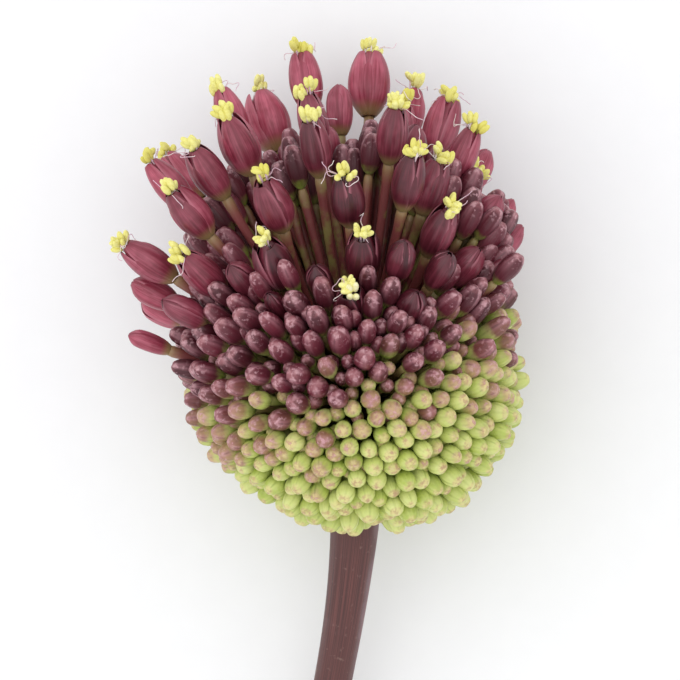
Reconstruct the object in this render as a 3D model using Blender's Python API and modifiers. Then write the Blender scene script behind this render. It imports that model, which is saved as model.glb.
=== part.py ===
"""Allium flower head, cut with a short length of its scape and lying on its side.

The plant is first modelled upright round its umbel centre, the point where all the
flower stalks start: +Z runs up through the crest, -Y is the face shown to the viewer and
+X is to the right. It is then laid on its back, so that the face looks up.
"""

import math

import bmesh
import bpy
from mathutils import Matrix, Vector

MM = 0.001

# Receptacle and scape. Depth runs down the scape from the umbel centre, radius is its half width.
SCAPE_OUTLINE = [
    (-5.5, 2.0),
    (-5.0, 3.2),
    (-3.5, 4.8),
    (-1.5, 5.8),
    (0.0, 6.0),
    (2.0, 5.2),
    (3.5, 4.2),
    (5.0, 3.5),
    (7.0, 3.15),
    (11.0, 3.0),
    (14.6, 2.9),
    (19.0, 2.65),
    (25.0, 2.4),
    (32.0, 2.25),
    (40.0, 2.2),
    (48.0, 2.15),
    (56.0, 2.15),
]
SCAPE_STRAIGHT = 4.0  # depth at which the scape starts to curve
SCAPE_CURVED_TO = 34.0  # depth at which it runs straight again
SCAPE_BEND_RADIUS = 157.0
SCAPE_SIDES_RESOLUTION = 6

RECEPTACLE_RADIUS = 6.0
SEAT_GAP = 0.3  # between a stalk's foot and the receptacle that carries it
BALL_GAP = 0.12  # between the packed bud tips and a stalk that comes out between them

# The ball of packed buds: how far the bud tips reach from the umbel centre, by lean from the axis.
BALL_OUTLINE = [
    (50, 22.4),
    (62, 21.8),
    (75, 20.8),
    (90, 19.6),
    (110, 17.8),
    (130, 16.0),
    (150, 15.0),
    (165, 14.6),
]
FIRST_TIER_LEAN = 50.0
TIER_SPAN = 14.0
TIER_ROWS = 2
CROWN_FOOT_LEAN = 58.0  # the first tier's inner top edge, kept low to leave the crest's stalks room
SCAPE_CLEARANCE_RADIUS = 3.9
PURPLE_TIERS = 3
GREEN_TIERS = 5
PURPLE_BUD_SPACING = 3.4
GREEN_BUD_SPACING = 2.6
BUD_RELIEF = 1.0  # how deep the seams between neighbouring bud tips are

# Flower outlines: distance back from the tip and radius. Open flowers end in their anthers.
OPEN_FLOWER = [(0.0, 0.7), (1.2, 1.15), (2.2, 1.85), (4.4, 2.15), (6.6, 1.6), (8.0, 0.6)]
LARGE_FLOWER = [(0.0, 0.8), (1.3, 1.4), (2.4, 2.3), (4.8, 2.65), (7.2, 1.9), (8.7, 0.6)]
CLOSED_FLOWER = [(0.0, 0.5), (0.7, 1.3), (2.4, 1.85), (4.4, 1.55), (6.0, 0.55)]
SLENDER_FLOWER = [(0.0, 0.4), (0.6, 1.0), (2.2, 1.3), (3.8, 1.1), (5.2, 0.5)]
STALK_RADIUS = 0.5
STALK_FOOT_RADIUS = 0.42
FLOWER_SIDES = 7

# The crest's flowers, each placed by hand: bearing round the axis from the face (plus is to the
# right), lean away from the axis, reach from the umbel centre to the tip, and outline.
CREST = [
    (-4, 39, 25.0, OPEN_FLOWER),
    (2, 28, 29.0, OPEN_FLOWER),
    (-6, 19, 34.0, OPEN_FLOWER),
    (32, 20, 36.0, OPEN_FLOWER),
    (50, 27, 31.0, OPEN_FLOWER),
    (70, 18, 33.5, OPEN_FLOWER),
    (106, 23, 36.5, OPEN_FLOWER),
    (-52, 11, 37.5, OPEN_FLOWER),
    (-111, 9, 39.0, OPEN_FLOWER),
    (75, 7, 38.0, OPEN_FLOWER),
    (-51, 25, 34.0, OPEN_FLOWER),
    (-44, 35, 29.0, OPEN_FLOWER),
    (-72, 47, 30.5, OPEN_FLOWER),
    (-79, 39, 36.0, OPEN_FLOWER),
    (-86, 31, 38.0, OPEN_FLOWER),
    (-97, 24, 39.0, LARGE_FLOWER),
    (-150, 36, 41.0, LARGE_FLOWER),
    (-132, 33, 42.0, OPEN_FLOWER),
    (-127, 48, 39.5, OPEN_FLOWER),
    (-113, 45, 38.5, OPEN_FLOWER),
    (-90, 54, 34.5, OPEN_FLOWER),
    (-163, 32, 44.2, OPEN_FLOWER),
    (-171, 24, 37.8, CLOSED_FLOWER),
    (176, 31, 43.8, LARGE_FLOWER),
    (160, 30, 40.0, OPEN_FLOWER),
    (141, 27, 38.5, OPEN_FLOWER),
    (133, 38, 34.0, CLOSED_FLOWER),
    (90, 32, 30.0, CLOSED_FLOWER),
    (120, 44, 30.5, CLOSED_FLOWER),
    (96, 42, 28.5, CLOSED_FLOWER),
    (40, 36, 27.5, CLOSED_FLOWER),
    (21, 32, 28.0, CLOSED_FLOWER),
    (66, 35, 25.5, CLOSED_FLOWER),
    (24, 42, 24.5, CLOSED_FLOWER),
    (-94, 61, 30.2, CLOSED_FLOWER),
    (-110, 70, 29.0, CLOSED_FLOWER),
    (-68, 57, 28.5, CLOSED_FLOWER),
    (-86, 72, 28.0, SLENDER_FLOWER),
    (-58, 41, 26.5, CLOSED_FLOWER),
    (-38, 44, 24.0, SLENDER_FLOWER),
    (152, 57, 31.5, CLOSED_FLOWER),
    (-158, 59, 31.5, CLOSED_FLOWER),
    (178, 47, 31.0, CLOSED_FLOWER),
    (-140, 55, 29.5, CLOSED_FLOWER),
    (135, 54, 29.0, CLOSED_FLOWER),
    (-126, 62, 28.5, CLOSED_FLOWER),
    (-21, 34, 25.0, CLOSED_FLOWER),
    (119, 31, 31.5, OPEN_FLOWER),
    (150, 17, 36.5, OPEN_FLOWER),
    (-152, 15, 33.0, CLOSED_FLOWER),
    (116, 13, 33.5, CLOSED_FLOWER),
]

LAY_BACK = math.radians(90.0)  # turn that brings the viewer's face to the top
MATERIALS = {  # name: colour, roughness
    "scape_skin": ((0.140, 0.060, 0.052), 0.45),
    "crest_tepals": ((0.150, 0.022, 0.042), 0.38),
    "purple_buds": ((0.160, 0.035, 0.060), 0.40),
    "green_buds": ((0.400, 0.480, 0.110), 0.42),
}


def clear_scene():
    for obj in list(bpy.data.objects):
        bpy.data.objects.remove(obj, do_unlink=True)


def make_collection(name):
    made = bpy.data.collections.new(name)
    bpy.context.scene.collection.children.link(made)
    return made


def make_material(name):
    colour, roughness = MATERIALS[name]
    made = bpy.data.materials.new(name)
    made.use_nodes = True
    shader = made.node_tree.nodes["Principled BSDF"]
    shader.inputs["Base Color"].default_value = (*colour, 1.0)
    shader.inputs["Roughness"].default_value = roughness
    shader.inputs["Metallic"].default_value = 0.0
    return made


def between(points, at):
    """The value at a place on an outline of (place, value) points."""
    for (low, first), (high, last) in zip(points, points[1:]):
        if at <= high:
            share = max(0.0, at - low) / (high - low)
            return first + share * (last - first)
    return points[-1][1]


def direction(bearing, lean):
    """Unit vector for a bearing round the axis and a lean from it, both in degrees."""
    turn = math.radians(bearing)
    tilt = math.radians(lean)
    side = math.sin(tilt)
    return Vector((side * math.sin(turn), -side * math.cos(turn), math.cos(tilt)))


def add_object(name, data, material, plant, collection):
    obj = bpy.data.objects.new(name, data)
    data.materials.append(material)
    collection.objects.link(obj)
    obj.parent = plant
    return obj


def scape_offset(depth):
    """How far the scape's middle lies to the left at a depth below the umbel centre."""
    curved = min(max(depth - SCAPE_STRAIGHT, 0.0), SCAPE_CURVED_TO - SCAPE_STRAIGHT)
    straight = max(depth - SCAPE_CURVED_TO, 0.0)
    slope = (SCAPE_CURVED_TO - SCAPE_STRAIGHT) / SCAPE_BEND_RADIUS
    return curved * curved / (2 * SCAPE_BEND_RADIUS) + straight * slope


def make_scape(material, plant, collection):
    """The scape and the receptacle that it swells into, which grew as one piece."""
    curve = bpy.data.curves.new("scape", "CURVE")
    curve.dimensions = "3D"
    curve.bevel_depth = MM
    curve.bevel_resolution = SCAPE_SIDES_RESOLUTION
    curve.use_fill_caps = True
    spline = curve.splines.new("POLY")
    spline.points.add(len(SCAPE_OUTLINE) - 1)
    for point, (depth, radius) in zip(spline.points, SCAPE_OUTLINE):
        point.co = (-scape_offset(depth) * MM, 0.0, -depth * MM, 1.0)
        point.radius = radius
    return add_object("scape", curve, material, plant, collection)


def tier_profile(first_lean, foot_lean):
    """One tier's cross section as (lean, radius) corners, outer side first."""
    last_lean = first_lean + TIER_SPAN
    corners = []
    for step in range(2 * TIER_ROWS + 1):
        lean = first_lean + TIER_SPAN * step / (2 * TIER_ROWS)
        radius = between(BALL_OUTLINE, lean)
        edge_gap = math.degrees(SEAT_GAP / 2 / radius)
        lean += edge_gap if step == 0 else -edge_gap if step == 2 * TIER_ROWS else 0.0
        corners.append((lean, radius))
    for lean, side in ((last_lean, -1), (foot_lean, 1)):
        radius = RECEPTACLE_RADIUS + SEAT_GAP
        radius = max(radius, SCAPE_CLEARANCE_RADIUS / math.sin(math.radians(lean)))
        corners.append((lean + side * math.degrees(SEAT_GAP / 2 / radius), radius))
    return corners


def make_tier(name, index, spacing, material, plant, collection):
    """A ring of packed buds and their stalks, two rows deep, from the receptacle out to the tips."""
    first_lean = FIRST_TIER_LEAN + index * TIER_SPAN
    foot_lean = CROWN_FOOT_LEAN if index == 0 else first_lean
    middle_lean = first_lean + TIER_SPAN / 2
    girth = math.tau * between(BALL_OUTLINE, middle_lean) * math.sin(math.radians(middle_lean))
    count = round(girth / spacing)

    mesh = bmesh.new()
    corners = []
    for lean, radius in tier_profile(first_lean, foot_lean):
        tilt = math.radians(lean)
        place = Vector((math.sin(tilt), 0.0, math.cos(tilt))) * radius * MM
        corners.append(mesh.verts.new(place))
    edges = [mesh.edges.new((a, b)) for a, b in zip(corners, corners[1:] + corners[:1])]
    bmesh.ops.spin(
        mesh,
        geom=corners + edges,
        cent=(0, 0, 0),
        axis=(0, 0, 1),
        angle=math.tau,
        steps=2 * count,
        use_merge=True,
    )
    bmesh.ops.remove_doubles(mesh, verts=mesh.verts, dist=0.00001)
    bmesh.ops.recalc_face_normals(mesh, faces=mesh.faces)
    outer = 0.75 * between(BALL_OUTLINE, middle_lean) * MM
    tips = []
    for vert in mesh.verts:
        if vert.co.length > outer:
            if is_bud_tip(vert.co, first_lean, count):
                tips.append(vert)
            else:
                vert.co *= 1.0 - BUD_RELIEF * MM / vert.co.length
    for tip in tips:
        for face in list(tip.link_faces):
            across = face.verts[(list(face.verts).index(tip) + 2) % 4]
            bmesh.utils.face_split(face, tip, across)
    data = bpy.data.meshes.new(name)
    mesh.to_mesh(data)
    mesh.free()
    return add_object(name, data, material, plant, collection)


def is_bud_tip(place, first_lean, count):
    """Whether a corner of the tier's outer face is the tip of a bud. The other corners lie in the seams.
    Buds in the second row stand between those of the first."""
    lean = math.degrees(math.acos(place.z / place.length))
    row_place = TIER_ROWS * (lean - first_lean) / TIER_SPAN
    turn = math.atan2(place.y, place.x)
    along = math.cos(count * turn / 2 + int(row_place) * math.pi / 2) ** 2
    return abs(row_place % 1.0 - 0.5) < 0.1 and along > 0.5


def seat_radius(lean):
    """Where a crest stalk's foot stands: on the receptacle, or outside the ball on the packed buds."""
    if lean < FIRST_TIER_LEAN:
        return RECEPTACLE_RADIUS + SEAT_GAP
    return between(BALL_OUTLINE, lean) + BALL_GAP


def make_crest_flower(name, bearing, lean, reach, outline, material, plant, collection):
    """A flower on its stalk, turned about its own axis, which runs out from the umbel centre."""
    foot = seat_radius(lean)
    rings = [(reach - back, radius) for back, radius in outline]
    rings = [(0.0, reach * MM)] + [(radius * MM, out * MM) for out, radius in rings]
    last_out = rings[-1][1]
    if last_out - foot * MM > MM:
        rings.append((STALK_RADIUS * MM, last_out - 0.6 * MM))
    rings.append((STALK_FOOT_RADIUS * MM, foot * MM))
    rings.append((0.0, rings[-1][1]))

    data = bpy.data.meshes.new(name)
    points = [(radius, 0.0, out - foot * MM) for radius, out in rings]
    data.from_pydata(points, [(i, i + 1) for i in range(len(points) - 1)], [])
    flower = add_object(name, data, material, plant, collection)
    screw = flower.modifiers.new("turned", "SCREW")
    screw.steps = FLOWER_SIDES
    screw.render_steps = FLOWER_SIDES
    screw.use_merge_vertices = True
    screw.merge_threshold = 0.00001
    screw.use_smooth_shade = True
    aim = direction(bearing, lean)
    flower.rotation_euler = aim.to_track_quat("Z", "Y").to_euler()
    flower.location = aim * foot * MM
    return flower


def world_points(parts):
    """Every vertex of the parts as evaluated, in world space, and each part's volume with its middle."""
    bpy.context.view_layer.update()
    graph = bpy.context.evaluated_depsgraph_get()
    points, masses = [], []
    for part in parts:
        evaluated = part.evaluated_get(graph)
        mesh = bmesh.new()
        mesh.from_mesh(evaluated.to_mesh())
        mesh.transform(evaluated.matrix_world)
        evaluated.to_mesh_clear()
        bmesh.ops.triangulate(mesh, faces=mesh.faces)
        volume, moment = 0.0, Vector()
        for face in mesh.faces:
            a, b, c = (vert.co for vert in face.verts)
            wedge = a.dot(b.cross(c)) / 6
            volume += wedge
            moment += wedge * (a + b + c) / 4
        masses.append((volume, moment))
        points += [vert.co.copy() for vert in mesh.verts]
        mesh.free()
    return points, masses


def resting_normal(points, masses):
    """The outward normal of the hull facet nearest to straight down that the weight stands on."""
    centre = sum((moment for _, moment in masses), Vector()) / sum(volume for volume, _ in masses)
    hull = bmesh.new()
    for point in points:
        hull.verts.new(point)
    bmesh.ops.convex_hull(hull, input=hull.verts)
    hull.normal_update()
    found = []
    for face in hull.faces:
        normal = face.normal
        foot = centre + normal * (face.verts[0].co - centre).dot(normal)
        corners = [vert.co for vert in face.verts]
        sides = [
            (b - a).cross(foot - a).dot(normal)
            for a, b in zip(corners, corners[1:] + corners[:1])
        ]
        if min(sides) > 0:
            found.append((normal.z, normal.copy()))
    hull.free()
    return min(found, key=lambda item: item[0])[1]


def lay_down(plant, parts):
    """Turns the plant onto its back, settles it on the facet that its weight stands on and puts the
    base's middle at the world's origin."""
    plant.matrix_world = Matrix.Rotation(-LAY_BACK, 4, "X")
    normal = resting_normal(*world_points(parts))
    settle = normal.rotation_difference(Vector((0, 0, -1))).to_matrix().to_4x4()
    plant.matrix_world = settle @ plant.matrix_world
    points, _ = world_points(parts)
    low = Vector(min(point[axis] for point in points) for axis in range(3))
    high = Vector(max(point[axis] for point in points) for axis in range(3))
    middle = (low + high) / 2
    shift = Matrix.Translation((-middle.x, -middle.y, -low.z))
    plant.matrix_world = shift @ plant.matrix_world


def main():
    clear_scene()
    collection = make_collection("allium_flower_head")
    plant = bpy.data.objects.new("umbel_centre", None)
    collection.objects.link(plant)
    finish = {name: make_material(name) for name in MATERIALS}

    parts = [make_scape(finish["scape_skin"], plant, collection)]
    for index in range(PURPLE_TIERS + GREEN_TIERS):
        purple = index < PURPLE_TIERS
        slot = "purple_buds" if purple else "green_buds"
        number = index + 1 if purple else index + 1 - PURPLE_TIERS
        spacing = PURPLE_BUD_SPACING if purple else GREEN_BUD_SPACING
        name = f"{slot}_tier_{number}"
        parts.append(make_tier(name, index, spacing, finish[slot], plant, collection))
    for number, (bearing, lean, reach, outline) in enumerate(CREST, 1):
        name = f"crest_flower_{number:02d}"
        parts.append(
            make_crest_flower(
                name, bearing, lean, reach, outline, finish["crest_tepals"], plant, collection
            )
        )
    lay_down(plant, parts)


main()
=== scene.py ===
import math
import random

import bmesh
import bpy
import numpy as np
from mathutils import Matrix, Vector


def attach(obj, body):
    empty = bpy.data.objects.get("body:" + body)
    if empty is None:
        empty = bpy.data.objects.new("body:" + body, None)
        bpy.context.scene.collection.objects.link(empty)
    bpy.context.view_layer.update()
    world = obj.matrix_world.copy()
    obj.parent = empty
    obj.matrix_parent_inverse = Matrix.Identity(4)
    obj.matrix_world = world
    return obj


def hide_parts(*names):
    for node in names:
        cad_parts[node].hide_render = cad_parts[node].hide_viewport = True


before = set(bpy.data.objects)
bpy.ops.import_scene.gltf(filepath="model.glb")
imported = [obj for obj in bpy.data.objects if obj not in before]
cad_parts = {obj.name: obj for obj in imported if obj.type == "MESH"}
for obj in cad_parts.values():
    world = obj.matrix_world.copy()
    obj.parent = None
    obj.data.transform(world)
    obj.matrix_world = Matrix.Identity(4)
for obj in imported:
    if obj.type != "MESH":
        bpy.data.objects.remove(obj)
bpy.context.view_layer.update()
random.seed(11)
mm = 0.001
print("frame loaded,", len(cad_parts), "solids")


def cadPoints(name):
    return np.array([vert.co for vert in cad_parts[name].data.vertices], float)


def findPlant(receptacleTop=5.5 * mm):  # where the plant lies, read off the solids
    upper = Vector(cadPoints("purple_buds_tier_2").mean(0))
    lower = Vector(cadPoints("green_buds_tier_3").mean(0))
    up = (upper - lower).normalized()
    stem = cadPoints("scape")
    height = stem @ np.array(up)
    crown = Vector(stem[height > height.max() - 0.02 * mm].mean(0))
    centre = crown - up * receptacleTop
    cutEnd = Vector(stem[height < height.min() + 0.6 * mm].mean(0))
    right = centre - cutEnd
    right = (right - up * right.dot(up)).normalized()
    turn = Matrix((right, up.cross(right), up)).transposed()
    return Matrix.Translation(centre) @ turn.to_4x4()


plant = findPlant()  # umbel centre, +Z along the crest's axis, -Y towards the viewer, +X to the right
toPlant = plant.inverted()


def direction(bearing, lean):
    turn, tilt = math.radians(bearing), math.radians(lean)
    return Vector((math.sin(tilt) * math.sin(turn), -math.sin(tilt) * math.cos(turn), math.cos(tilt)))


goldenAngle = math.pi * (3 - math.sqrt(5))


def spiralStep(lean, spacing, reach):  # degrees further from the pole on an evenly filled spiral
    return math.degrees(0.866 * spacing ** 2 / (math.tau * reach * reach * math.sin(math.radians(lean))))


def between(points, at):  # value at a place on a list of (place, value)
    return float(np.interp(at, [p[0] for p in points], [p[1] for p in points]))


def colour(red, green, blue):  # display values 0-255 to a linear colour
    shares = (red / 255, green / 255, blue / 255)
    return tuple(((share + 0.055) / 1.055) ** 2.4 for share in shares) + (1.0,)


def newMaterial(name, roughness=0.45, **sockets):
    made = bpy.data.materials.new(name)
    made.use_nodes = True
    shader = made.node_tree.nodes["Principled BSDF"]
    shader.inputs["Roughness"].default_value = roughness
    for socket, value in sockets.items():
        shader.inputs[socket.replace("_", " ")].default_value = value
    return made, made.node_tree, shader


def addNode(tree, kind, inputs=None, **settings):
    node = tree.nodes.new(kind)
    for key, value in settings.items():
        setattr(node, key, value)
    for key, value in (inputs or {}).items():
        if isinstance(value, bpy.types.NodeSocket):
            tree.links.new(value, node.inputs[key])
        else:
            node.inputs[key].default_value = value
    return node


def attribute(tree, name):
    return addNode(tree, "ShaderNodeAttribute", attribute_name=name).outputs["Fac"]


def mathNode(tree, operation, *values):
    return addNode(tree, "ShaderNodeMath", dict(enumerate(values)), operation=operation).outputs[0]


def product(tree, first, second):
    return mathNode(tree, "MULTIPLY", first, second)


def ramp(tree, value, low, high, toLow=0.0, toHigh=1.0):  # smooth step
    inputs = {"Value": value, "From Min": low, "From Max": high, "To Min": toLow, "To Max": toHigh}
    return addNode(tree, "ShaderNodeMapRange", inputs, interpolation_type="SMOOTHSTEP").outputs[0]


def mix(tree, amount, first, second, blend="MIX"):
    inputs = {0: amount, 6: first, 7: second}
    return addNode(tree, "ShaderNodeMix", inputs, data_type="RGBA", blend_type=blend).outputs[2]


def noise(tree, vector, scale, detail=3.0, roughness=0.55):
    inputs = {"Vector": vector, "Scale": scale, "Detail": detail, "Roughness": roughness}
    return addNode(tree, "ShaderNodeTexNoise", inputs).outputs["Fac"]


def vector(tree, *parts):
    return addNode(tree, "ShaderNodeCombineXYZ", dict(enumerate(parts))).outputs[0]


def objectPlace(tree):
    return addNode(tree, "ShaderNodeTexCoord").outputs["Object"]


def bump(tree, shader, height, strength, distance=0.05 * mm):
    inputs = {"Height": height, "Strength": strength, "Distance": distance}
    made = addNode(tree, "ShaderNodeBump", inputs)
    tree.links.new(made.outputs[0], shader.inputs["Normal"])


def makeBudSkin():
    made, tree, shader = newMaterial("budSkin", 0.42, Specular_IOR_Level=0.45)
    along, seam = attribute(tree, "along"), attribute(tree, "seam")
    ripe, tone = attribute(tree, "ripe"), attribute(tree, "tone")
    place = objectPlace(tree)
    mottle = noise(tree, place, 900.0, 4.0)
    # green skin, darker towards the base
    green = mix(tree, ramp(tree, tone, 0.0, 1.0), colour(172, 188, 84), colour(212, 218, 138))
    green = mix(tree, ramp(tree, along, 0.05, 0.7), colour(138, 160, 60), green)
    green = mix(tree, ramp(tree, mottle, 0.35, 0.7, 0.0, 0.4), green, colour(222, 224, 154))
    # purple creeps from the tip down as a bud ripens
    start = mathNode(tree, "MULTIPLY_ADD", ripe, -1.15, 1.06)
    spread = mathNode(tree, "ADD", along, mathNode(tree, "MULTIPLY_ADD", mottle, 0.4, -0.2))
    spread = mathNode(tree, "DIVIDE", mathNode(tree, "SUBTRACT", spread, start), 0.34)
    covered = ramp(tree, spread, 0.0, 1.0)
    mauve = mix(tree, ramp(tree, tone, 0.0, 1.0), colour(158, 112, 90), colour(196, 166, 118))
    deep = mix(tree, ramp(tree, tone, 0.0, 1.0), colour(74, 24, 34), colour(112, 44, 58))
    purple = mix(tree, ramp(tree, ripe, 0.42, 0.74), mauve, deep)
    strength = ramp(tree, ripe, 0.1, 0.6, 0.6, 1.0)
    skin = mix(tree, product(tree, covered, strength), green, purple)
    # each outer tepal has a darker midrib and a pale rim, and where the rims meet a dark seam is painted
    # shade of the overlapping tepals
    rim = product(tree, ramp(tree, seam, 0.45, 0.85), ramp(tree, along, 0.3, 0.85, 0.15, 1.0))
    rimColour = mix(tree, covered, colour(206, 214, 128), colour(176, 120, 130))
    skin = mix(tree, product(tree, rim, 0.5), skin, rimColour)
    # pale flanks near the tip, partly the bud's own colour and partly a painted highlight
    paleTipAndHighlight = product(tree, ramp(tree, seam, 0.35, 0.7), ramp(tree, along, 0.84, 0.95, 0.0, 0.75))
    paleTipAndHighlight = product(tree, paleTipAndHighlight, ramp(tree, noise(tree, place, 2600.0), 0.3, 0.6, 0.3, 1.0))
    turning = ramp(tree, ripe, 0.3, 0.6)
    skin = mix(tree, paleTipAndHighlight, skin, mix(tree, turning, colour(216, 204, 140), colour(204, 160, 166)))
    # painted shade: a dark line down each seam between the tepals
    paintedSeamShade = product(tree, ramp(tree, seam, 0.8, 1.0), ramp(tree, mottle, 0.35, 0.65, 0.1, 0.5))
    skin = mix(tree, paintedSeamShade, skin, mix(tree, covered, colour(128, 146, 56), colour(66, 26, 34)))
    midrib = product(tree, ramp(tree, seam, 0.3, 0.0), ramp(tree, along, 0.2, 0.6, 0.0, 0.2))
    skin = mix(tree, midrib, skin, mix(tree, covered, colour(136, 152, 58), colour(70, 24, 36)))
    # the tip is blotched with tan on a green bud, and flecked with pale pink on a purple one, the flecks
    # partly painted highlight
    fleck = noise(tree, place, 1900.0, 3.0)
    eye = product(tree, ramp(tree, along, 0.84, 0.97), ramp(tree, mottle, 0.36, 0.6, 0.1, 0.7))
    tan = mix(tree, ramp(tree, fleck, 0.42, 0.6), colour(214, 196, 136), colour(168, 112, 96))
    skin = mix(tree, eye, skin, mix(tree, turning, tan, colour(158, 98, 104)))
    # pale pink flecks, partly the bud's own specks and partly painted highlight
    pale = product(tree, ramp(tree, fleck, 0.53, 0.66), ramp(tree, along, 0.55, 0.9, 0.0, 0.55))
    skin = mix(tree, product(tree, pale, covered), skin, colour(212, 164, 172))
    tree.links.new(skin, shader.inputs["Base Color"])
    veins = mathNode(tree, "SINE", product(tree, seam, 22.0))
    veins = mathNode(tree, "MULTIPLY_ADD", veins, 0.5, noise(tree, place, 3500.0))
    bump(tree, shader, veins, 0.35)
    return made


def makeTepalSkin():
    made, tree, shader = newMaterial("tepalSkin", 0.36, Specular_IOR_Level=0.5)
    along, across, tone = attribute(tree, "along"), attribute(tree, "across"), attribute(tree, "tone")
    side = mathNode(tree, "ABSOLUTE", across)
    place = vector(tree, product(tree, across, 5.0), along, product(tree, tone, 40.0))
    lines = noise(tree, place, 2.2, 4.0)
    blotch = noise(tree, objectPlace(tree), 420.0, 2.0)
    # painted light and shade: the first colour is the shaded one and the second a painted highlight, laid
    # along the veined streaks and in broad soft patches
    deep = mix(tree, tone, colour(54, 13, 22), colour(138, 38, 60))
    paintedHighlight = mix(tree, tone, colour(100, 34, 48), colour(204, 104, 126))
    patches = ramp(tree, blotch, 0.35, 0.7, 0.0, 0.4)
    light = mathNode(tree, "MULTIPLY_ADD", ramp(tree, lines, 0.3, 0.72), 0.5, patches)
    skin = mix(tree, light, deep, paintedHighlight)
    skin = mix(tree, ramp(tree, side, 0.2, 0.03, 0.0, 0.55), skin, deep)  # midrib
    skin = mix(tree, ramp(tree, side, 0.70, 0.96, 0.0, 0.45), skin, colour(190, 118, 132))  # thin edge
    skin = mix(tree, ramp(tree, along, 0.03, 0.26, 0.85, 0.0), skin, colour(150, 132, 84))  # base
    skin = mix(tree, ramp(tree, along, 0.84, 1.0, 0.0, 0.5), skin, deep)  # painted shade at the tip
    tree.links.new(skin, shader.inputs["Base Color"])
    bump(tree, shader, lines, 0.4)
    return made


def makeStalkSkin():
    made, tree, shader = newMaterial("stalkSkin", 0.42)
    along, tone = attribute(tree, "along"), attribute(tree, "tone")
    place = objectPlace(tree)
    shift = mathNode(tree, "MULTIPLY_ADD", tone, 0.3, -0.15)
    streak = mathNode(tree, "ADD", noise(tree, place, 420.0, 5.0), shift)
    green = mix(tree, ramp(tree, tone, 0.0, 1.0), colour(114, 104, 56), colour(150, 136, 82))
    maroon = mix(tree, ramp(tree, tone, 0.0, 1.0), colour(104, 43, 46), colour(136, 69, 68))
    skin = mix(tree, ramp(tree, streak, 0.30, 0.52), green, maroon)
    skin = mix(tree, ramp(tree, along, 0.86, 1.0, 0.0, 0.6), skin, colour(160, 146, 92))
    fresh = mix(tree, ramp(tree, streak, 0.35, 0.6), colour(150, 168, 78), colour(190, 200, 116))
    skin = mix(tree, attribute(tree, "fresh"), skin, fresh)
    tree.links.new(skin, shader.inputs["Base Color"])
    bump(tree, shader, noise(tree, place, 2600.0), 0.3)
    return made


def makeScapeSkin():
    made, tree, shader = newMaterial("scapeSkin", 0.46, Sheen_Weight=0.06)
    along, rib = attribute(tree, "along"), attribute(tree, "rib")
    place = objectPlace(tree)
    streakPlace = vector(tree, product(tree, rib, 60.0), product(tree, along, 2.0), 0.0)
    streak = noise(tree, streakPlace, 1.6, 5.0)
    skin = mix(tree, ramp(tree, streak, 0.3, 0.7), colour(56, 25, 25), colour(104, 56, 52))
    # a waxy bloom, with painted sheen making it heavier on the right-hand side
    bloomAndSheen = product(tree, noise(tree, place, 160.0, 4.0), ramp(tree, rib, 0.0, 0.32, 1.5, 0.8))
    skin = mix(tree, ramp(tree, bloomAndSheen, 0.42, 0.75, 0.0, 0.45), skin, colour(138, 108, 116))
    specks = ramp(tree, noise(tree, place, 1500.0), 0.62, 0.75, 0.0, 0.35)
    skin = mix(tree, specks, skin, colour(150, 122, 112))
    grain = ramp(tree, noise(tree, place, 2600.0, 4.0), 0.35, 0.65)
    pith = mix(tree, grain, colour(168, 170, 112), colour(206, 206, 158))
    skin = mix(tree, ramp(tree, attribute(tree, "pith"), 0.3, 0.8), skin, pith)
    tree.links.new(skin, shader.inputs["Base Color"])
    bump(tree, shader, streak, 0.5)
    return made


def makeAntherDust():
    made, tree, shader = newMaterial("antherDust", 0.75)
    tone = attribute(tree, "tone")
    place = objectPlace(tree)
    skin = mix(tree, ramp(tree, tone, 0.0, 0.85), colour(222, 214, 104), colour(240, 236, 156))
    skin = mix(tree, ramp(tree, tone, 0.86, 0.98), skin, colour(240, 236, 220))
    grains = ramp(tree, noise(tree, place, 3200.0), 0.4, 0.7, 0.0, 0.4)
    skin = mix(tree, grains, skin, colour(212, 198, 66))
    tree.links.new(skin, shader.inputs["Base Color"])
    bump(tree, shader, noise(tree, place, 6000.0), 0.5)
    return made


def makeThreadSkin():
    made, tree, shader = newMaterial("threadSkin", 0.5)
    place = objectPlace(tree)
    fade = ramp(tree, noise(tree, place, 500.0), 0.4, 0.62)
    skin = mix(tree, fade, colour(214, 176, 192), colour(238, 226, 222))
    tree.links.new(skin, shader.inputs["Base Color"])
    return made


def makeFloorPaper():
    made, tree, shader = newMaterial("floorPaper", 0.9, Specular_IOR_Level=0.1)
    place = objectPlace(tree)
    grain = noise(tree, place, 300.0, 4.0)
    skin = mix(tree, grain, (0.86, 0.86, 0.872, 1.0), (0.885, 0.885, 0.897, 1.0))
    tree.links.new(skin, shader.inputs["Base Color"])
    return made


skins = {
    "bud": makeBudSkin(),
    "tepal": makeTepalSkin(),
    "stalk": makeStalkSkin(),
    "scape": makeScapeSkin(),
    "anther": makeAntherDust(),
    "thread": makeThreadSkin(),
}
print("materials ready")


def startShape(*layers):  # an empty mesh whose points carry these values for the shaders
    shape = bmesh.new()
    for name in layers:
        shape.verts.layers.float.new(name)
    return shape


def addCopy(target, template, place, **values):  # a placed copy of a mesh, with its values
    start = len(target.verts)
    target.from_mesh(template)
    target.verts.ensure_lookup_table()
    fresh = target.verts[start:]
    bmesh.ops.transform(target, matrix=place, verts=fresh)
    for name, value in values.items():
        layer = target.verts.layers.float[name]
        for vert in fresh:
            vert[layer] = value
    return fresh


def liftClear(verts):  # what would sink into the floor is raised onto it
    low = min(vert.co.z for vert in verts)
    if low < 0:
        for vert in verts:
            vert.co.z -= low


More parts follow.
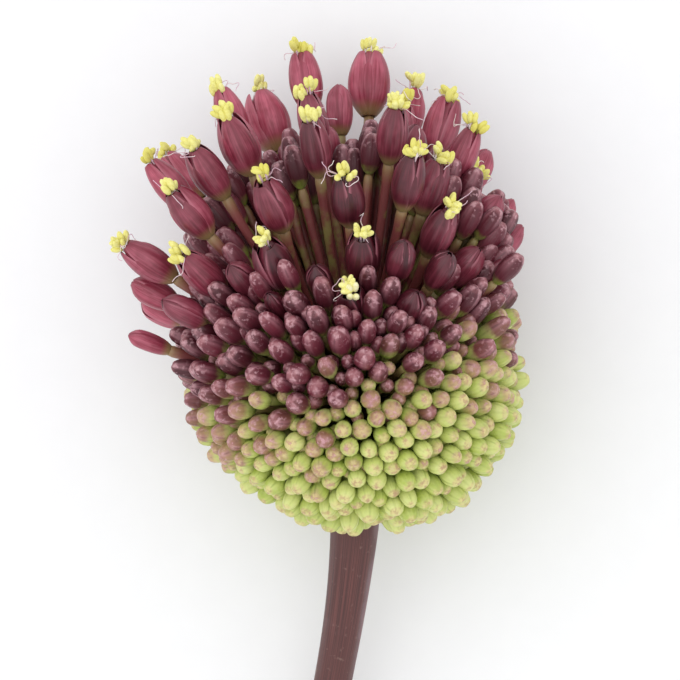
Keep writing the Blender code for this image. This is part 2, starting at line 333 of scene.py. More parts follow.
def finishPiece(shape, name, skin, levels=0, nodes=(), thickness=0.0):
    data = bpy.data.meshes.new(name)
    for face in shape.faces:
        face.smooth = True
    shape.to_mesh(data)
    shape.free()
    data.materials.append(skin)
    piece = bpy.data.objects.new(name, data)
    bpy.context.scene.collection.objects.link(piece)
    if thickness:
        wall = piece.modifiers.new("wall", "SOLIDIFY")
        wall.thickness = thickness
        wall.offset = -1.0
    if levels:
        rounding = piece.modifiers.new("rounding", "SUBSURF")
        rounding.levels = rounding.render_levels = levels
    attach(piece, "root")
    if nodes:
        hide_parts(*nodes)
    return piece


def aim(towards, at, twist=0.0, tilt=None):  # a frame at a point with +Z along towards
    turn = towards.to_track_quat("Z", "Y").to_matrix() @ Matrix.Rotation(twist, 3, "Z")
    if tilt:
        turn = Matrix.Rotation(tilt[0], 3, tilt[1]) @ turn
    return Matrix.Translation(at) @ turn.to_4x4()


def scaled(x, y, z):
    return Matrix.Diagonal((x, y, z, 1.0))


def randomTilt(most):  # up to most degrees either way, about X or Y
    return math.radians(random.uniform(-most, most)), random.choice("XY")


kindByGirth = [("large", 2.5), ("open", 2.05), ("closed", 1.6), ("slender", 0.0)]  # least half width, mm


def readCrest():  # each crest flower's direction, reach and kind, read off its solid
    found = []
    for name in sorted(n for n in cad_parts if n.startswith("crest_flower")):
        points = np.array([toPlant @ Vector(p) for p in cadPoints(name)])
        reach = np.linalg.norm(points, axis=1)
        along = Vector(points[reach > reach.max() - 3 * mm].mean(0)).normalized()
        axis = np.array(along)
        girth = np.linalg.norm(points - np.outer(points @ axis, axis), axis=1).max() / mm
        kind = next(kind for kind, least in kindByGirth if girth > least)
        found.append({"node": name, "along": along, "reach": reach.max(), "kind": kind})
    return found


crest = readCrest()

flowerShapes = {
    # length and half width in mm, stamens, how far they reach beyond the tepals,
    # and the half width's share at nine places from a tepal's base to its tip
    "large": {"length": 7.8, "width": 2.36, "stamens": 6, "beyond": 1.4,
              "outline": [0.36, 0.72, 0.91, 1.00, 1.02, 0.99, 0.91, 0.77, 0.50]},
    "open": {"length": 7.2, "width": 1.92, "stamens": 6, "beyond": 1.4,
             "outline": [0.40, 0.73, 0.92, 1.00, 1.02, 0.99, 0.92, 0.79, 0.53]},
    "closed": {"length": 6.3, "width": 1.60, "stamens": 0, "beyond": 0.0,
               "outline": [0.46, 0.78, 0.94, 1.00, 1.01, 1.00, 0.94, 0.77, 0.04]},
    "slender": {"length": 5.2, "width": 1.10, "stamens": 0, "beyond": 0.0,
                "outline": [0.56, 0.82, 0.93, 0.98, 1.00, 1.00, 0.97, 0.82, 0.04]},
}

tepalShape = {
    "columns": 6,
    "rows": 8,
    "halfAngle": [54, 62, 65, 66, 65, 63, 61, 56, 44],  # degrees, base to tip
    "keel": 0.12,
    "keelSpread": 1.6,  # how fast the keel falls away towards the edges
    "innerWhorl": 0.92,  # its radius and its angle beside the outer whorl's
    "innerClose": 0.5,  # how far the inner tips draw in
    "innerCloseFrom": 0.75,
    "thickness": 0.11 * mm,
}


def makeTepal(kind, inner):
    sizes = flowerShapes[kind]
    shape = startShape("along", "across", "tone")
    columns, rows = tepalShape["columns"], tepalShape["rows"]
    bmesh.ops.create_grid(shape, x_segments=columns, y_segments=rows, size=1.0)
    alongLayer, acrossLayer = (shape.verts.layers.float[n] for n in ("along", "across"))
    rowPlaces = [row / rows for row in range(rows + 1)]
    outline = list(zip(rowPlaces, sizes["outline"]))
    halfAngle = list(zip(rowPlaces, tepalShape["halfAngle"]))
    whorl = tepalShape["innerWhorl"] if inner else 1.0
    for vert in shape.verts:
        across, along = vert.co.x, (vert.co.y + 1.0) / 2.0
        angle = across * math.radians(between(halfAngle, along)) * whorl
        radius = sizes["width"] * between(outline, along) * whorl
        if inner:
            drawn = max(along - tepalShape["innerCloseFrom"], 0.0) / (1.0 - tepalShape["innerCloseFrom"])
            radius *= 1.0 - tepalShape["innerClose"] * drawn
        swell = math.sin(math.pi * min(along * 1.1, 1.0))
        radius *= 1.0 + tepalShape["keel"] * (1.0 - tepalShape["keelSpread"] * across * across) * swell
        vert[alongLayer], vert[acrossLayer] = along, across
        vert.co = Vector((radius * math.sin(angle), radius * math.cos(angle), sizes["length"] * along)) * mm
    bmesh.ops.recalc_face_normals(shape, faces=shape.faces)
    middle = min(shape.faces, key=lambda face: abs(face.calc_center_median().x))
    if middle.normal.y < 0:
        bmesh.ops.reverse_faces(shape, faces=shape.faces)
    data = bpy.data.meshes.new("tepal")
    shape.to_mesh(data)
    shape.free()
    return data


tepals = {(kind, inner): makeTepal(kind, inner) for kind in flowerShapes for inner in (False, True)}

stalkShape = {
    "crestSides": 8,
    "crestSteps": 9,
    "crestRadius": 0.60 * mm,
    "crestFoot": 0.46 * mm,
    "neck": 0.92 * mm,  # where it widens into the flower
    "youngRadius": 0.51 * mm,
    "youngNeck": 0.69 * mm,
    "budSides": 5,
    "budSteps": 3,
    "budRadius": 0.50 * mm,
    "budFoot": 0.26 * mm,
    "budNeck": 0.625 * mm,
    "start": 5.3 * mm,  # inside the receptacle's skin
}


def makeTube(sides, steps):  # unit tube from z 0 to 1, radius 1
    shape = startShape("along", "tone", "fresh")
    bmesh.ops.create_cone(shape, cap_ends=True, segments=sides, radius1=1.0, radius2=1.0, depth=1.0)
    bmesh.ops.translate(shape, vec=(0, 0, 0.5), verts=shape.verts)
    for step in range(1, steps):
        bmesh.ops.bisect_plane(shape, geom=shape.verts[:] + shape.edges[:] + shape.faces[:],
                               plane_co=(0, 0, step / steps), plane_no=(0, 0, 1))
    layer = shape.verts.layers.float["along"]
    for vert in shape.verts:
        vert[layer] = vert.co.z
    data = bpy.data.meshes.new("tube")
    shape.to_mesh(data)
    shape.free()
    return data


crestTube = makeTube(stalkShape["crestSides"], stalkShape["crestSteps"])
budTube = makeTube(stalkShape["budSides"], stalkShape["budSteps"])


def addStalk(target, tube, along, end, widths, tone, bow=0.0, bowTowards=0.0, fresh=0.0):
    # a tube from the receptacle out to a flower's or a bud's base; widths are its radii along it
    start = stalkShape["start"]
    verts = addCopy(target, tube, Matrix.Identity(4), tone=tone, fresh=fresh)
    place = plant @ aim(along, Vector())
    lean = Vector((math.cos(bowTowards), math.sin(bowTowards), 0.0))
    for vert in verts:
        share = vert.co.z
        width = between(widths, share)
        vert.co = Vector((vert.co.x * width, vert.co.y * width, start + share * (end - start)))
        vert.co = place @ (vert.co + lean * bow * math.sin(math.pi * share))


crestShape = {
    # painted light and shade: the tepals' tone is palest at the back and the sides, darkest towards the
    # viewer
    "tone": 0.34,
    "paintedLightBack": 0.95,
    "paintedLightSide": 0.48,
    "toneSpread": 0.12,
    "tepalToneSpread": 0.16,
    "grow": (0.95, 1.03),  # share of a flower's length
    "girth": (0.84, 1.04),  # share of its width
    "tilt": 5.0,
    "opening": (-3.2, 1.4),  # degrees a tepal leans out or in
    "tepalTurn": 0.06,
    "neckLength": 2.4 * mm,
    "stalkInside": 0.7 * mm,
    "stalkBow": (0.0, 0.9),
}

youngCrest = {
    "leanFrom": 3.0,
    "leanTo": 46.0,
    "reach": (31.0, 36.0),
    "reachLoss": 0.12,  # mm less for each degree of lean
    "reachLossRight": 2.5,
    "step": 2.0,
    "spiralRadius": 30.0,
    "apart": 2.75,
    "frontLimit": -0.03,  # none in front, where the stalks stand open to view
    "frontLimitRight": 0.4,
    "length": (4.8, 5.6),
    "width": (1.45, 1.75),
    "neckAt": 0.8,  # share of the stalk's length
    "stalkBow": (0.0, 0.6),
    "stalkInside": 0.3,
}


def buildCrestFlower(flower):  # six tepals in two whorls, on the flower's own axis
    sizes, along = flowerShapes[flower["kind"]], flower["along"]
    base = flower["reach"] - (sizes["length"] + sizes["beyond"]) * mm
    twist = random.uniform(0, math.tau)
    # painted shade on flowers that face the viewer, painted light on those at the back and the sides
    tone = crestShape["tone"] + crestShape["paintedLightBack"] * along.y + crestShape["paintedLightSide"] * abs(along.x)
    tone += random.uniform(-crestShape["toneSpread"], crestShape["toneSpread"])
    grow = random.uniform(*crestShape["grow"])
    girth = grow * random.uniform(*crestShape["girth"])
    tilt = randomTilt(crestShape["tilt"])
    shape = startShape("along", "across", "tone")
    for step in range(6):
        inner = step % 2 == 1
        opening = Matrix.Rotation(math.radians(random.uniform(*crestShape["opening"])), 4, "X")
        turn = step * math.tau / 6 + random.uniform(-crestShape["tepalTurn"], crestShape["tepalTurn"])
        place = plant @ aim(along, along * base, twist, tilt) @ Matrix.Rotation(turn, 4, "Z")
        place = place @ opening @ scaled(girth, girth, grow)
        shade = tone + random.uniform(-crestShape["tepalToneSpread"], crestShape["tepalToneSpread"])
        addCopy(shape, tepals[flower["kind"], inner], place, tone=min(max(shade, 0), 1))
    liftClear(shape.verts)
    name = "crestFlower" + flower["node"][-2:]
    finishPiece(shape, name, skins["tepal"], 1, [flower["node"]], tepalShape["thickness"])
    flower["base"], flower["twist"], flower["tilt"], flower["grow"] = base, twist, tilt, grow


def addYoungCrest(young, stalks):  # slim buds that fill the crest between its flowers
    bud = makeBud(budShapes["purple"], seamDepth=0.11, lip=0.05)
    turn, lean = 0.0, youngCrest["leanFrom"]
    while lean < youngCrest["leanTo"]:
        along = direction(math.degrees(turn), lean)
        right = max(along.x, 0.0)
        reach = random.uniform(*youngCrest["reach"])
        reach -= youngCrest["reachLoss"] * lean
        reach -= youngCrest["reachLossRight"] * right
        apart = min((along - flower["along"]).length for flower in crest) * reach
        front = youngCrest["frontLimit"] + youngCrest["frontLimitRight"] * right
        if apart > youngCrest["apart"] and -along.y < front:
            length, width = random.uniform(*youngCrest["length"]), random.uniform(*youngCrest["width"])
            base = reach - length
            tilt = randomTilt(crestShape["tilt"])
            pose = plant @ aim(along, along * base * mm, random.uniform(0, math.tau), tilt)
            pose = pose @ scaled(width * mm, width * mm, length * mm)
            addCopy(young, bud, pose, ripe=1.0, tone=random.random())
            foot, middle, neck = (stalkShape[n] for n in ("crestFoot", "youngRadius", "youngNeck"))
            widths = [(0, foot), (youngCrest["neckAt"], middle), (1, neck)]
            end = (base + youngCrest["stalkInside"]) * mm
            addStalk(stalks, crestTube, along, end, widths, random.random(),
                     random.uniform(*youngCrest["stalkBow"]) * mm, random.uniform(0, math.tau))
        turn += goldenAngle
        lean += spiralStep(lean, youngCrest["step"], youngCrest["spiralRadius"])


def buildCrest():
    stalks = startShape("along", "tone", "fresh")
    for flower in crest:
        buildCrestFlower(flower)
        neckAt = 1.0 - crestShape["neckLength"] / (flower["base"] - stalkShape["start"])
        foot, middle, neck = (stalkShape[n] for n in ("crestFoot", "crestRadius", "neck"))
        widths = [(0, foot), (neckAt, middle), (1, neck)]
        end = flower["base"] + crestShape["stalkInside"]
        addStalk(stalks, crestTube, flower["along"], end, widths, random.random(),
                 random.uniform(*crestShape["stalkBow"]) * mm, random.uniform(0, math.tau))
    young = startShape("along", "seam", "ripe", "tone")
    addYoungCrest(young, stalks)
    finishPiece(young, "crestYoungBuds", skins["bud"], 1)
    finishPiece(stalks, "crestStalks", skins["stalk"], 1)


antherShape = {"length": 2.184, "width": 1.0304, "lobeGap": 0.32, "lobeLean": 0.1}

stamenShape = {
    "missing": (0, 1, 1, 2, 3),  # of the flower's six
    "turnSpread": 0.4,
    "out": (0.3, 1.1),  # from the flower's axis, mm
    "above": (0.1, 1.45),  # past the tepals' tips, mm
    "outDrop": 0.35,
    "lean": (-0.2, 1.2),
    "twistSpread": 0.6,
    "size": (0.85, 1.1),
    "filamentLength": 2.2 * mm,
    "filamentFoot": 0.55,  # the foot's distance from the axis, as a share of the anther's
    "filamentRadius": 0.11,
}

threadShape = {
    "count": (2, 2, 3, 4),
    "out": 0.5,
    "below": 0.2,
    "rise": (0.2, 1.0),
    "steps": (16, 30),
    "step": 0.15,
    "bend": (0.10, 0.26),
    "wave": 0.34,
    "wavePace": 0.5,
    "radius": 0.045,
}


def makeAnther():  # two lobes side by side
    shape = startShape("tone")
    size = Vector((antherShape["width"], antherShape["width"], antherShape["length"])) * mm
    for side in (-1, 1):
        lobe = bmesh.ops.create_icosphere(shape, subdivisions=1, radius=0.5)["verts"]
        lean = Matrix.Rotation(side * antherShape["lobeLean"], 3, "Y")
        bmesh.ops.scale(shape, vec=size, verts=lobe)
        bmesh.ops.rotate(shape, cent=(0, 0, 0), matrix=lean, verts=lobe)
        bmesh.ops.translate(shape, vec=(side * antherShape["lobeGap"] * mm, 0, 0), verts=lobe)
    data = bpy.data.meshes.new("anther")
    shape.to_mesh(data)
    shape.free()
    return data


def addThread(curve, points, radius):
    spline = curve.splines.new("POLY")
    spline.points.add(len(points) - 1)
    for point, place in zip(spline.points, points):
        point.co = (*place, 1.0)
        point.radius = radius


def addAnthers(anthers, curve, anther, flower, place, mouth):
    stamens = flowerShapes[flower["kind"]]["stamens"]
    pale = random.random()
    for stamen in range(stamens - random.choice(stamenShape["missing"])):
        turn = stamen * math.tau / stamens
        turn += random.uniform(-stamenShape["turnSpread"], stamenShape["turnSpread"])
        out = random.uniform(*stamenShape["out"])
        height = mouth + random.uniform(*stamenShape["above"]) - stamenShape["outDrop"] * out
        head = Vector((math.cos(turn) * out, math.sin(turn) * out, height)) * mm
        lean = Matrix.Rotation(random.uniform(*stamenShape["lean"]), 4, "Y")
        twist = turn + random.uniform(-stamenShape["twistSpread"], stamenShape["twistSpread"])
        pose = place @ Matrix.Translation(head) @ Matrix.Rotation(twist, 4, "Z") @ lean
        pose = pose @ Matrix.Rotation(random.uniform(0, math.pi), 4, "Z")
        pose = pose @ scaled(*[random.uniform(*stamenShape["size"])] * 3)
        tone = min(1.0, pale * 0.5 + random.random() * 0.5)
        liftClear(addCopy(anthers, anther, pose, tone=tone))
        share = stamenShape["filamentFoot"]
        foot = Vector((head.x * share, head.y * share, head.z - stamenShape["filamentLength"]))
        addThread(curve, [place @ foot, place @ head], stamenShape["filamentRadius"])


def addCurls(curve, place, mouth):  # spent filaments that curl out of the flower's mouth
    for _ in range(random.choice(threadShape["count"])):
        turn = random.uniform(0, math.tau)
        out = threadShape["out"]
        spot = Vector((math.cos(turn) * out, math.sin(turn) * out, mouth - threadShape["below"]))
        rise = random.uniform(*threadShape["rise"])
        heading = Vector((math.cos(turn), math.sin(turn), rise)).normalized()
        curl = Vector((random.uniform(-1, 1), random.uniform(-1, 1), random.uniform(-1, 1))).normalized()
        rate, wave = random.uniform(*threadShape["bend"]), random.uniform(0, math.tau)
        points = []
        for step in range(random.randint(*threadShape["steps"])):
            points.append(place @ (spot * mm))
            spot = spot + heading * threadShape["step"]
            bend = rate + threadShape["wave"] * math.sin(wave + threadShape["wavePace"] * step)
            heading = (Matrix.Rotation(bend, 3, curl) @ heading).normalized()
        addThread(curve, points, threadShape["radius"])


def buildStamens():
    anther = makeAnther()
    anthers = startShape("tone")
    curve = bpy.data.curves.new("filaments", "CURVE")
    curve.dimensions = "3D"
    curve.bevel_depth = mm
    curve.bevel_resolution = 1
    curve.use_fill_caps = True
    for flower in crest:
        sizes = flowerShapes[flower["kind"]]
        if not sizes["stamens"]:
            continue
        middle = flower["along"] * flower["base"]
        place = plant @ aim(flower["along"], middle, flower["twist"], flower["tilt"])
        mouth = sizes["length"] * flower["grow"]
        addAnthers(anthers, curve, anther, flower, place, mouth)
        addCurls(curve, place, mouth)
    finishPiece(anthers, "anthers", skins["anther"], 1)
    curve.materials.append(skins["thread"])
    filaments = bpy.data.objects.new("filaments", curve)
    bpy.context.scene.collection.objects.link(filaments)
    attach(filaments, "root")


ballShape = {
    # lean in degrees and reach of the bud tips in mm
    "tipReach": [(30, 26.0), (36, 25.2), (45, 24.2), (52, 23.2), (60, 22.3), (68, 21.6), (76, 20.8),
                 (84, 20.1), (90, 19.6), (100, 18.7), (110, 17.8), (120, 16.9), (130, 16.1), (140, 15.5),
                 (150, 15.1), (168, 14.7)],
    "leanFrom": 37.0,
    "leanTo": 163.0,
    "lopsided": 1.8,  # fuller at the upper left, flatter at the upper right, mm
    "lopsidedLevel": 0.25,  # how far below the middle it turns the other way round, as a share
    "lopsidedLeast": -0.35,
    "ripeLean": 70.0,  # where purple gives way to green on the face towards the viewer
    "ripeSlant": 14.0,  # lower on the left, higher on the right
    "footLean": 122.0,  # past this the buds sit round the stem
    "spacingRipe": 3.1,
    "spacingGreen": 2.36,
    "spacingFoot": 2.6,
    "middleDepth": 1.7,  # a bud's middle below the ball's outline
    "unevenness": (-0.9, 0.7),
    "rounds": 90,
    "crowding": 1.04,
    "stalkRoom": 0.7,
    "flowerRoom": 1.5,
    "flowerMiddle": 1.5,  # above the flower's base
    "flowerClear": 2.0,  # a base above this is clear of the buds
    "youngStep": 1.25,  # a finer spiral, searched for gaps that hold a younger bud
    "youngGap": 0.43,  # least distance to a grown bud, as a share of its own spacing
    "youngApart": 2.0,
    "youngOffStalks": 1.5,
    "youngDepth": 1.9,
    "youngUnevenness": (-0.5, 0.4),
}

budShapes = {
    # share of the length and of the half width, from the base to the tip
    "green": [(0.0, 0.34), (0.14, 0.80), (0.40, 1.04), (0.70, 0.98), (0.91, 0.60)],
    "purple": [(0.0, 0.34), (0.14, 0.78), (0.42, 1.03), (0.73, 0.97), (0.93, 0.56)],
}


def makeBud(outline, seamDepth, lip, sides=6):  # unit bud from z 0 to 1, three rounded sides
    shape = startShape("along", "seam", "ripe", "tone")
    places = [Vector((radius, 0, height)) for height, radius in [(-0.03, 0), *outline, (1.0, 0)]]
    rimHeight = places[-2].z
    verts = [shape.verts.new(place) for place in places]
    edges = [shape.edges.new(pair) for pair in zip(verts, verts[1:])]
    bmesh.ops.spin(shape, geom=verts + edges, cent=(0, 0, 0), axis=(0, 0, 1),
                   angle=math.tau, steps=sides, use_merge=True)
    bmesh.ops.remove_doubles(shape, verts=shape.verts, dist=1e-5)
    bmesh.ops.recalc_face_normals(shape, faces=shape.faces)
    alongLayer, seamLayer = (shape.verts.layers.float[n] for n in ("along", "seam"))
    for vert in shape.verts:
        vert[alongLayer] = min(max(vert.co.z, 0.0), 1.0)
        offAxis = math.hypot(vert.co.x, vert.co.y) > 0.01
        corner = round(math.atan2(vert.co.y, vert.co.x) / (math.tau / sides))
        onSeam = offAxis and corner % 2 == 1
        vert[seamLayer] = 1.0 if onSeam else 0.0 if offAxis else 0.5
        if onSeam:
            vert.co.x *= 1.0 - seamDepth
            vert.co.y *= 1.0 - seamDepth
        if abs(vert.co.z - rimHeight) < 0.01:  # three blunt lips round a sunken middle
            vert.co.z += -lip if onSeam else lip
        elif vert.co.z > 0.99:
            vert.co.z = 1.0 - 0.8 * lip
    data = bpy.data.meshes.new("bud")
    shape.to_mesh(data)
    shape.free()
    return data


def lopsided(heading):  # mm added to the reach
    rise = max(heading.z + ballShape["lopsidedLevel"], ballShape["lopsidedLeast"])
    return -ballShape["lopsided"] * heading.x * rise


def budRipeness(place):  # degrees past the line where purple gives way to green
    lean = math.degrees(math.acos(place.z / place.length))
    side = place.x / math.hypot(place.x, place.y)
    return lean - (ballShape["ripeLean"] - ballShape["ripeSlant"] * side)


def budSpacing(heading, lean):
    if budRipeness(heading) < 0:
        return ballShape["spacingRipe"]
    return ballShape["spacingFoot"] if lean > ballShape["footLean"] else ballShape["spacingGreen"]


def findStalks():  # where the crest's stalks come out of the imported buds, and the room they take
    places, needs = [], []
    for flower in crest:
        lean = math.degrees(math.acos(flower["along"].z))
        reach = between(ballShape["tipReach"], lean) - ballShape["middleDepth"]
        need = ballShape["stalkRoom"]
        if flower["base"] / mm < reach + ballShape["flowerClear"]:
            reach = max(flower["base"] / mm + ballShape["flowerMiddle"], reach)
            need = ballShape["flowerRoom"]
        places.append(np.array(flower["along"]) * reach)
        needs.append(need)
    return np.array(places), np.array(needs)


def spreadBuds():
    # a spiral of even spacing, then each bud is pushed off its neighbours and off the crest's stalks
    places, needs = [], []
    turn, lean = 0.0, ballShape["leanFrom"]
    while lean < ballShape["leanTo"]:
        heading = direction(math.degrees(turn), lean)
        reach = between(ballShape["tipReach"], lean) - ballShape["middleDepth"]
        spacing = budSpacing(heading, lean)
        places.append(np.array(heading) * (reach + random.uniform(*ballShape["unevenness"])))
        needs.append(spacing / 2)
        turn += goldenAngle
        lean += spiralStep(lean, spacing, reach)
    places, needs = np.array(places), np.array(needs)
    stalkPlaces, stalkNeeds = findStalks()
    depth = np.linalg.norm(places, axis=1)
    tips = [p[0] for p in ballShape["tipReach"]]
    reaches = [p[1] for p in ballShape["tipReach"]]
    leans = np.degrees(np.arccos(places[:, 2] / depth))
    offset = depth - np.interp(leans, tips, reaches)
    for _ in range(ballShape["rounds"]):
        push = np.zeros_like(places)
        for others, otherNeeds, weight in ((places, needs, 0.5), (stalkPlaces, stalkNeeds, 1.0)):
            gap = places[:, None, :] - others[None, :, :]
            distance = np.linalg.norm(gap, axis=2)
            wanted = (needs[:, None] + otherNeeds[None, :]) * ballShape["crowding"]
            close = (distance < wanted) & (distance > 1e-6)
            size = np.where(close, (wanted - distance) / np.maximum(distance, 1e-6), 0.0)
            push += weight * (gap * size[:, :, None]).sum(1)
        places = places + 0.5 * push
        # back to its own depth under the ball's outline
        depth = np.linalg.norm(places, axis=1)
        leans = np.degrees(np.arccos(places[:, 2] / depth))
        held = np.clip(leans, ballShape["leanFrom"] - 3, ballShape["leanTo"])
        wantedDepth = np.interp(held, tips, reaches) + offset
        side = np.hypot(places[:, 0], places[:, 1])
        flat = places[:, :2] / side[:, None]
        out = np.sin(np.radians(held)) * wantedDepth
        places = np.column_stack([flat * out[:, None], np.cos(np.radians(held)) * wantedDepth])
    return [Vector(p) for p in places], needs


def findYoungBuds(places, needs):
    # gaps between the grown buds, where younger ones sit deeper down
    grown = np.array([p / p.length for p in places])
    found, turn, lean = [], 0.0, ballShape["leanFrom"] + 4
    while lean < ballShape["leanTo"]:
        heading = direction(math.degrees(turn), lean)
        reach = between(ballShape["tipReach"], lean)
        share = np.linalg.norm(grown - np.array(heading), axis=1) * reach / (needs * 2)
        near = min([(heading - other).length * reach for other in found], default=99)
        stalk = min((heading - flower["along"]).length * reach for flower in crest)
        apart = near > ballShape["youngApart"] and stalk > ballShape["youngOffStalks"]
        if share.min() > ballShape["youngGap"] and apart:
            found.append(heading)
        turn += goldenAngle
        lean += spiralStep(lean, ballShape["youngStep"], reach)
    return found


budGrowth = {
    "spread": 6.5,  # degrees by which single buds run ahead or behind
    "youngLag": 5,
    "purpleRipe": 0.62,
    "purpleGain": 0.013,
    "purpleMost": 0.88,
    "purpleLength": (4.4, 5.6),
    "purpleWidth": (1.28, 1.66),
    "greenRipe": 0.56,
    "greenFade": 90,  # degrees over which a bud's ripeness would fall by one
    "greenSpread": (-0.2, 0.14),
    "greenLength": (3.2, 4.2),
    "greenWidth": (1.20, 1.52),
    "topLean": 58,
    "top": (1.12, 1.05),  # length and width, beside the others
    "foot": (1.08, 1.14),
    "young": (0.78, 0.80),
    "tipShare": 0.45,  # of its length beyond its middle
    "tilt": 12,
    "neckAt": 0.75,  # share of the stalk's length
    "stalkInside": 0.25,
    "stalkFresh": 0.25,  # least share of green on a stalk
    "tierFrom": 50,
    "tierSpan": 14,
}


def growBud(lean, past, young):  # past is budRipeness with the bud's own luck added
    scales = []
    if past < 0:
        kind = "purple"
        ripe = min(budGrowth["purpleMost"], budGrowth["purpleRipe"] + budGrowth["purpleGain"] * -past)
        if lean < budGrowth["topLean"]:
            scales.append(budGrowth["top"])
    else:
        kind = "green"
        fade = past / budGrowth["greenFade"]
        ripe = max(0.0, budGrowth["greenRipe"] - fade + random.uniform(*budGrowth["greenSpread"]))
        if lean > ballShape["footLean"]:
            scales.append(budGrowth["foot"])
    if young:
        scales.append(budGrowth["young"])
    length = random.uniform(*budGrowth[kind + "Length"])
    width = random.uniform(*budGrowth[kind + "Width"])
    for longer, wider in scales:
        length, width = length * longer, width * wider
    return kind, ripe, length, width


def buildBuds():
    places, needs = spreadBuds()
    buds = [(place.normalized(), place.length + lopsided(place.normalized()), False) for place in places]
    for heading in findYoungBuds(places, needs):
        reach = between(ballShape["tipReach"], math.degrees(math.acos(heading.z))) + lopsided(heading)
        depth = reach - ballShape["middleDepth"] - ballShape["youngDepth"]
        buds.append((heading, depth + random.uniform(*ballShape["youngUnevenness"]), True))
    templates = {
        "green": makeBud(budShapes["green"], seamDepth=0.08, lip=0.03),
        "purple": makeBud(budShapes["purple"], seamDepth=0.11, lip=0.06),
    }
    tiers = [f"purple_buds_tier_{n}" for n in (1, 2, 3)] + [f"green_buds_tier_{n}" for n in (1, 2, 3, 4, 5)]
    shapes = {name: startShape("along", "seam", "ripe", "tone") for name in tiers}
    stalks = startShape("along", "tone", "fresh")
    for along, depth, young in buds:
        lean = math.degrees(math.acos(along.z))
        past = budRipeness(along) + random.gauss(0, budGrowth["spread"])
        past += budGrowth["youngLag"] if young else 0
        kind, ripe, length, width = growBud(lean, past, young)
        tip = depth + length * budGrowth["tipShare"]
        base = along * (tip - length) * mm
        tilt = randomTilt(budGrowth["tilt"])
        pose = plant @ aim(along, base, random.uniform(0, math.tau), tilt)
        pose = pose @ scaled(width * mm, width * mm, length * mm)
        number = int((lean - budGrowth["tierFrom"]) / budGrowth["tierSpan"])
        tier = tiers[min(max(number, 0), len(tiers) - 1)]
        liftClear(addCopy(shapes[tier], templates[kind], pose, ripe=ripe, tone=random.random()))
        foot, middle, neck = (stalkShape[n] for n in ("budFoot", "budRadius", "budNeck"))
        widths = [(0, foot), (budGrowth["neckAt"], middle), (1, neck)]
        end = (tip - length + budGrowth["stalkInside"]) * mm
        fresh = max(budGrowth["stalkFresh"], 1.0 - 1.2 * ripe)
        addStalk(stalks, budTube, along, end, widths, random.random(), fresh=fresh)
    for name, shape in shapes.items():
        parts = name.split("_")
        finishPiece(shape, parts[0] + "Buds" + parts[-1], skins["bud"], 1, [name])
    finishPiece(stalks, "budStalks", skins["stalk"])
    print("packed buds:", len(places), "young buds:", len(buds) - len(places))


buildCrest()
print("crest flowers and stalks built")
buildStamens()
print("stamens built")
buildBuds()

scapeShape = {
    # depth below the umbel centre and half width, mm
    "outline": [(-5.5, 1.4), (-5.2, 2.8), (-3.6, 4.7), (-1.5, 5.8), (0.5, 5.95), (2.2, 5.2), (3.8, 4.2),
                (5.5, 3.5), (8.0, 3.1), (11, 3.0), (14.6, 2.9), (19, 2.66), (25, 2.42), (32, 2.27),
                (40, 2.2), (48, 2.15), (55.3, 2.15), (55.9, 2.1)],
    "sides": 24,
    "ribDepth": 0.018,
    "ribsFrom": 8,
    "streakLength": 50.0,
    "bendRadius": 157.0,
    "straightTo": 4.0,
    "curvedTo": 34.0,
    # insets of the cut end, width and depth: the rind, the edge of the pith, the pith
    "rind": (0.30 * mm, 0.0),
    "pithEdge": (0.15 * mm, -0.05 * mm),
    "pith": (0.7 * mm, -0.06 * mm),
}


def scapeMiddle(depth):  # how far the stem's middle has bent aside at a depth, and its lean there
    bendLength = scapeShape["curvedTo"] - scapeShape["straightTo"]
    radius = scapeShape["bendRadius"]
    curved = min(max(depth - scapeShape["straightTo"], 0.0), bendLength)
    straight = max(depth - scapeShape["curvedTo"], 0.0)
    return -(curved * curved / (2 * radius) + straight * (bendLength / radius)), curved / radius


def buildScape():
    shape = startShape("along", "rib", "pith")
    alongLayer, ribLayer, pithLayer = (shape.verts.layers.float[n] for n in ("along", "rib", "pith"))
    sides = scapeShape["sides"]
    ring = bmesh.ops.create_circle(shape, cap_ends=False, segments=sides, radius=1.0)["verts"]
    edges = list({edge for vert in ring for edge in vert.link_edges})
    rings = [ring]
    for _ in scapeShape["outline"][1:]:
        made = bmesh.ops.extrude_edge_only(shape, edges=edges)["geom"]
        rings.append([item for item in made if isinstance(item, bmesh.types.BMVert)])
        edges = [item for item in made if isinstance(item, bmesh.types.BMEdge)]
    for (depth, radius), verts in zip(scapeShape["outline"], rings):
        middle, lean = scapeMiddle(depth)
        turn = Matrix.Rotation(lean, 3, "Y")
        for vert in verts:
            angle = math.atan2(vert.co.y, vert.co.x)
            step = round(angle / (math.tau / sides))
            rib = scapeShape["ribDepth"] if step % 2 else -scapeShape["ribDepth"]
            width = radius * (1.0 + rib * (depth > scapeShape["ribsFrom"]))
            vert[alongLayer] = depth / scapeShape["streakLength"]
            vert[ribLayer] = abs(angle) / math.pi
            place = turn @ Vector((math.cos(angle) * width, math.sin(angle) * width, 0.0))
            vert.co = plant @ ((place + Vector((middle, 0.0, -depth))) * mm)
    ends = bmesh.ops.holes_fill(shape, edges=shape.edges, sides=0)["faces"]
    for face in ends:
        for layer in ("rind", "pithEdge"):
            width, depth = scapeShape[layer]
            bmesh.ops.inset_individual(shape, faces=[face], thickness=width, depth=depth)
        for vert in face.verts:
            vert[pithLayer] = 1.0
        width, depth = scapeShape["pith"]
        bmesh.ops.inset_individual(shape, faces=[face], thickness=width, depth=depth)
        for vert in bmesh.ops.poke(shape, faces=[face])["verts"]:
            vert[pithLayer] = 1.0
    bmesh.ops.recalc_face_normals(shape, faces=shape.faces)
    finishPiece(shape, "scapeStem", skins["scape"], 2, ["scape"])


buildScape()
print("scape built")

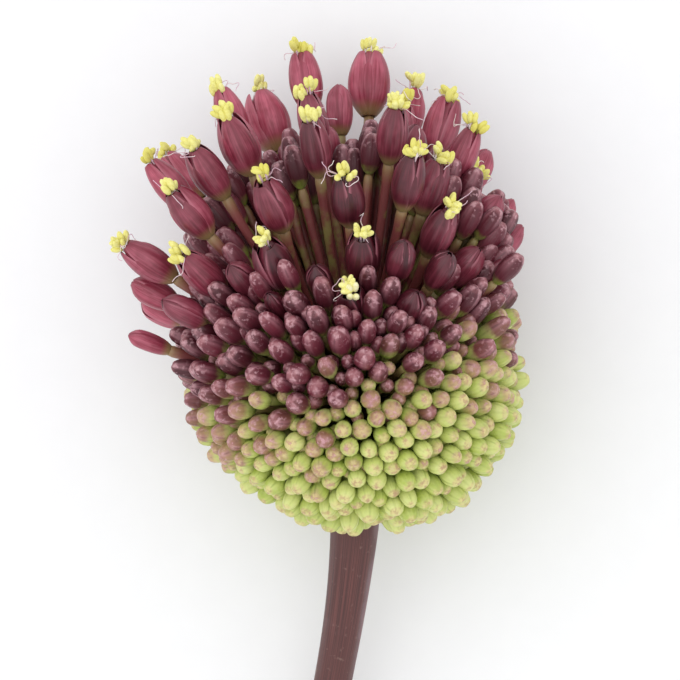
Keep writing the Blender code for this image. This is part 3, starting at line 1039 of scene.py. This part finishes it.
stageShape = {
    "floorSide": 4.0,
    "sensor": 36.0,
    "lens": 274.0,
    "cameraDistance": 0.6,
    "cameraLean": 17.5,  # degrees above the umbel's equator
    "aimRight": -2.1 * mm,  # from the umbel centre to the picture's middle
    "aimUp": 7.5 * mm,
    "worldColour": (0.985, 0.99, 1.0, 1.0),
    "worldStrength": 1.06,
    "lights": {  # place, side, watts
        "keyLight": ((-0.42, 0.2, 1.0), 1.8, 2.1),
        "topLight": ((0.0, 0.0, 1.1), 1.2, 1.8),
    },
}


def buildStage():
    shape = bmesh.new()
    bmesh.ops.create_grid(shape, x_segments=1, y_segments=1, size=stageShape["floorSide"] / 2)
    data = bpy.data.meshes.new("floor")
    shape.to_mesh(data)
    shape.free()
    data.materials.append(makeFloorPaper())
    floor = bpy.data.objects.new("floor", data)
    bpy.context.scene.collection.objects.link(floor)

    world = bpy.data.worlds.new("studio")
    bpy.context.scene.world = world
    world.use_nodes = True
    background = world.node_tree.nodes["Background"]
    background.inputs["Color"].default_value = stageShape["worldColour"]
    background.inputs["Strength"].default_value = stageShape["worldStrength"]

    for name, (place, size, power) in stageShape["lights"].items():
        lamp = bpy.data.lights.new(name, "AREA")
        lamp.size, lamp.energy = size, power
        light = bpy.data.objects.new(name, lamp)
        light.location = place
        light.rotation_euler = (-Vector(place)).to_track_quat("-Z", "Y").to_euler()
        bpy.context.scene.collection.objects.link(light)

    lensData = bpy.data.cameras.new("camera")
    lensData.lens = stageShape["lens"]
    lensData.sensor_width = stageShape["sensor"]
    camera = bpy.data.objects.new("camera", lensData)
    lean = math.radians(stageShape["cameraLean"])
    turn = plant.to_3x3()
    back = turn @ Vector((0.0, -math.cos(lean), math.sin(lean)))
    up = turn @ Vector((0.0, math.sin(lean), math.cos(lean)))
    right = up.cross(back)
    centre = plant.translation + right * stageShape["aimRight"] + up * stageShape["aimUp"]
    place = Matrix((right, up, back)).transposed().to_4x4()
    place.translation = centre + back * stageShape["cameraDistance"]
    camera.matrix_world = place
    bpy.context.scene.collection.objects.link(camera)
    bpy.context.scene.camera = camera
    bpy.context.scene.view_settings.view_transform = "Standard"


buildStage()
print("stage ready")

bpy.context.view_layer.update()
